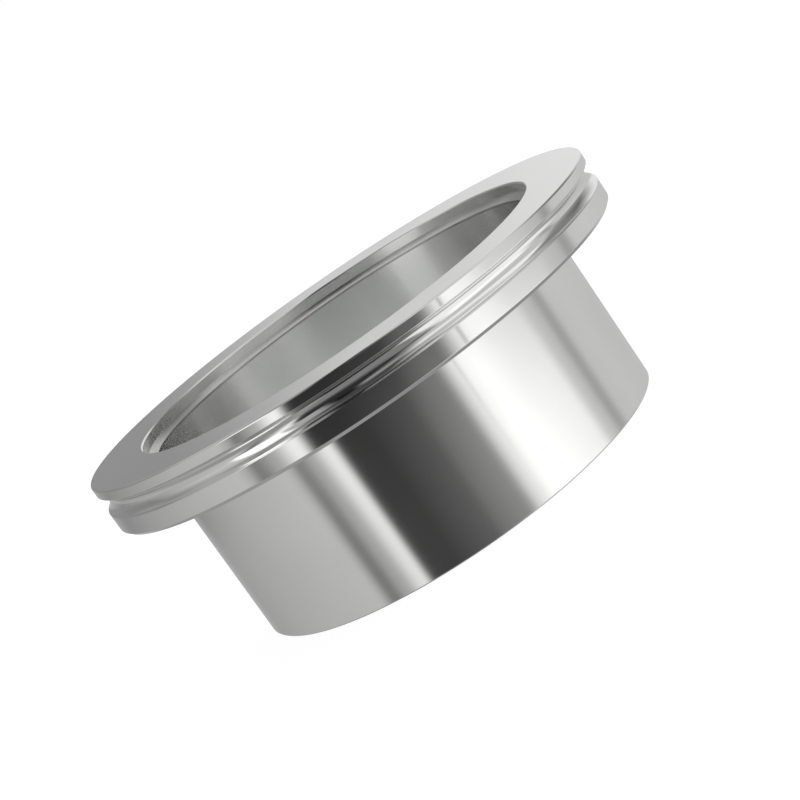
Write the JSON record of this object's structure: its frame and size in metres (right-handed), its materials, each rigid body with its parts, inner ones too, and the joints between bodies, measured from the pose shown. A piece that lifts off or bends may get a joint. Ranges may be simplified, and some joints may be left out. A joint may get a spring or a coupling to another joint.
{
  "type": "flanged sight glass",
  "caption": "Flanged vacuum sight glass: a short polished tube with a clamp flange at one end and a round glass window clamped between seals inside the other.",
  "frame": {"origin": "centre of the tube's lower end, on the plane that the part stands on", "axes": "+Z along the tube's axis, from its lower end up to the flange's sealing face"},
  "size_m": [0.13, 0.13, 0.05],
  "materials": {
    "polished_steel": "mirror-polished stainless steel tube",
    "turned_steel": "fine turned and polished stainless steel",
    "weld_metal": "smooth fused stainless weld, lightly rippled",
    "window_glass": "clear polished borosilicate glass",
    "black_elastomer": "moulded black fluoroelastomer",
    "white_gasket": "skived white PTFE sheet",
    "screw_steel": "plain stainless socket screws"
  },
  "bodies": {
    "root": {"flange_ring": "turned_steel", "sight_tube": "polished_steel", "flange_root_weld": "weld_metal", "seat_seal_weld": "weld_metal", "window_seat_ring": "turned_steel", "window_glass": "window_glass", "window_o_ring": "black_elastomer", "window_gasket": "white_gasket", "window_clamp_ring": "turned_steel", "clamp_screw_1": "screw_steel", "clamp_screw_2": "screw_steel", "clamp_screw_3": "screw_steel", "clamp_screw_4": "screw_steel", "clamp_screw_5": "screw_steel", "clamp_screw_6": "screw_steel", "clamp_screw_7": "screw_steel", "clamp_screw_8": "screw_steel"}
  },
  "joints": []
}
